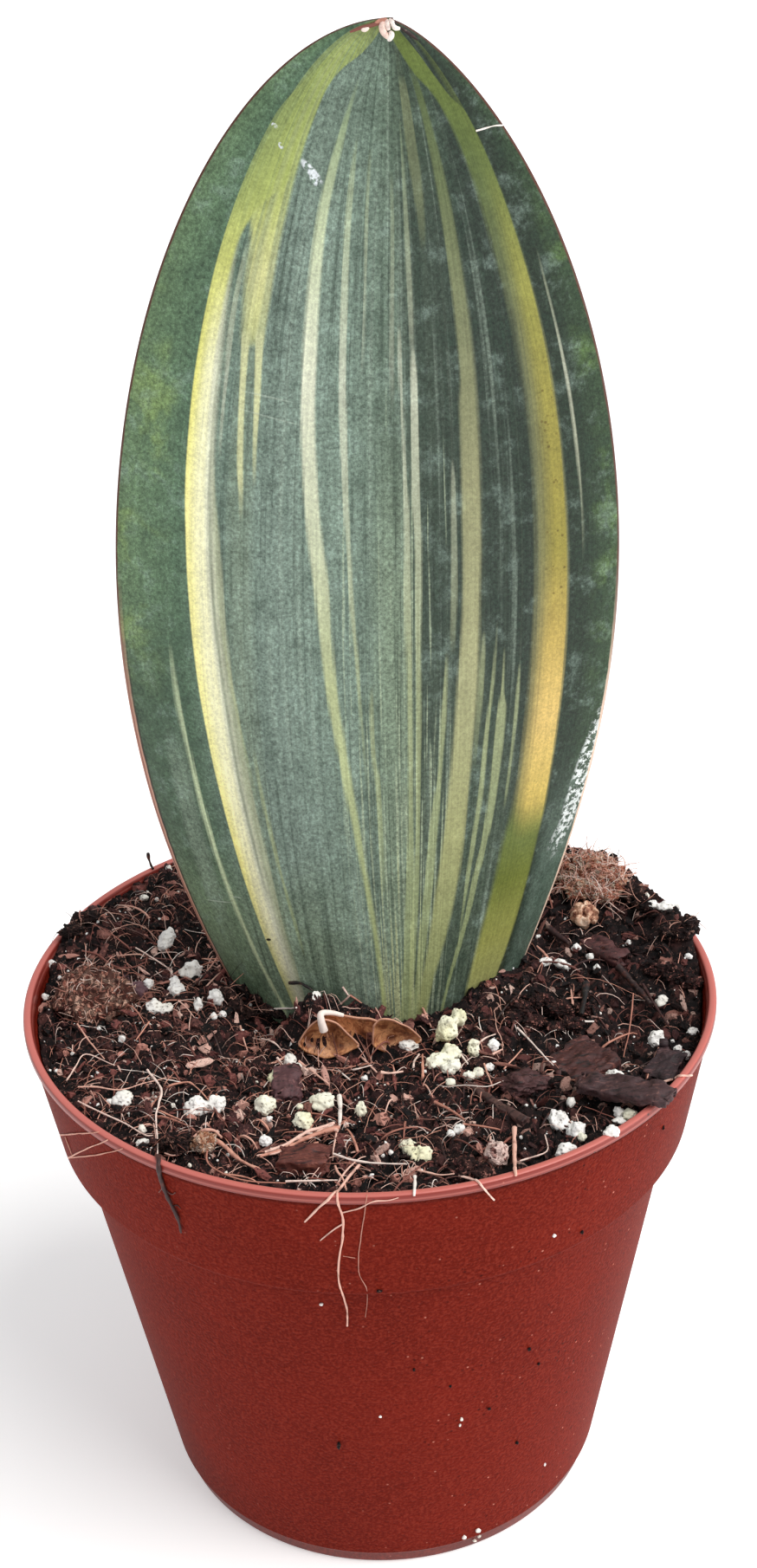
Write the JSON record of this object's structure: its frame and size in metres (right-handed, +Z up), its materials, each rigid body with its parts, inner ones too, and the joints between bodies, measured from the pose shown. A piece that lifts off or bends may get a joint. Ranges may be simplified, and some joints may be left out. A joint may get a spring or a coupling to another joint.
{
  "type": "potted whale fin snake plant",
  "caption": "Whale fin snake plant: a single broad variegated leaf standing in a round plastic nursery pot filled with bark and perlite potting mix.",
  "frame": {"origin": "middle of the pot's foot ring, on the surface the pot stands on", "axes": "+Z up along the pot's axis, +X to the right along the leaf's width, -Y towards the side the leaf shows in the picture"},
  "size_m": [0.152, 0.152, 0.3255],
  "materials": {
    "pot": "terracotta red injection-moulded plastic with a fine pebbled grain, satin lip and smooth foot ring",
    "soil": "moist dark brown peat, coir and bark mix, rough and matte",
    "leaf": "waxy grey-green leaf with yellow, cream and golden lengthwise stripes and a thin reddish margin",
    "dry_sheath": "dry amber-brown papery scale, slightly glossy, with pale torn edges",
    "coir": "matted reddish coconut fibre, matte",
    "bark": "damp dark purplish-brown bark, matte with a faint sheen",
    "perlite": "white to cream expanded perlite, rough and matte"
  },
  "bodies": {
    "root": {"pot": "pot", "soil": "soil", "snake_plant": "leaf", "dry_sheath": "dry_sheath", "coir_lump": "coir", "round_knot": "coir", "bark_plank_on_rim": "bark", "red_bark_chip": "bark", "purple_bark_chip": "bark", "front_bark_chip": "bark", "back_bark_plank": "bark", "right_bark_chip": "bark", "twig": "bark", "perlite_by_sheath": "perlite", "perlite_cluster": "perlite", "perlite_pierced": "perlite", "perlite_front_left": "perlite", "perlite_front": "perlite", "perlite_front_right": "perlite", "perlite_right": "perlite", "perlite_far_right": "perlite", "perlite_on_clump": "perlite", "perlite_back_right": "perlite", "perlite_long": "perlite", "perlite_by_margin": "perlite", "perlite_middle_left": "perlite", "perlite_left": "perlite"}
  },
  "joints": []
}
